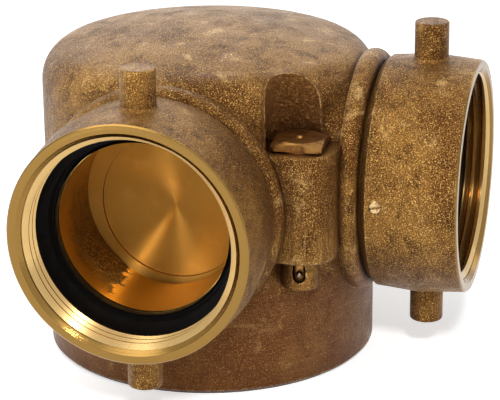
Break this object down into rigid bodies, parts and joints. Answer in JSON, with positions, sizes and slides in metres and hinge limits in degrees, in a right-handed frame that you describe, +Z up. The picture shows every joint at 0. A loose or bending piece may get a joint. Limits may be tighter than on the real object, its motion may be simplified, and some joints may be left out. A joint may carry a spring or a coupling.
{
  "type": "fire department connection",
  "caption": "Two-way fire department connection: domed brass body with threaded outlet underneath, spinning hose swivels at a right angle and a swinging clapper on a vertical pin.",
  "frame": {"origin": "centre of the outlet face at the bottom of the drum", "axes": "+Z up along the drum axis; -Y is the front, towards the hinge boss in the corner between the inlets; the inlets point to -X-Y and +X-Y at 45 degrees"},
  "size_m": [0.2084, 0.1679, 0.1316],
  "materials": {
    "cast_brass": "sand cast, unpolished",
    "turned_brass": "turned",
    "gasket_rubber": "matt moulded",
    "bearing_steel": "ground",
    "washer_copper": "soft sealing washer"
  },
  "bodies": {
    "body": {"body": "cast_brass", "balls_left": "bearing_steel", "balls_right": "bearing_steel", "hinge_pin": "turned_brass", "pin_washer": "washer_copper", "lock_pin": "bearing_steel"},
    "swivel_left": {"swivel_left": "cast_brass", "gasket_left": "gasket_rubber", "ball_plug_left": "turned_brass"},
    "swivel_right": {"swivel_right": "cast_brass", "gasket_right": "gasket_rubber", "ball_plug_right": "turned_brass"},
    "clapper": {"clapper": "turned_brass"}
  },
  "joints": [
    {"name": "swivel_left_spin", "type": "hinge", "parent": "body", "child": "swivel_left", "pos_m": [0, 0, 0.0726], "axis": [-0.7071, -0.7071, 0], "continuous": true},
    {"name": "swivel_right_spin", "type": "hinge", "parent": "body", "child": "swivel_right", "pos_m": [0, 0, 0.0726], "axis": [0.7071, -0.7071, 0], "continuous": true},
    {"name": "clapper_swing", "type": "hinge", "parent": "body", "child": "clapper", "pos_m": [0, -0.0675, 0.0726], "axis": [0, 0, -1], "range_deg": [0, 90]}
  ]
}
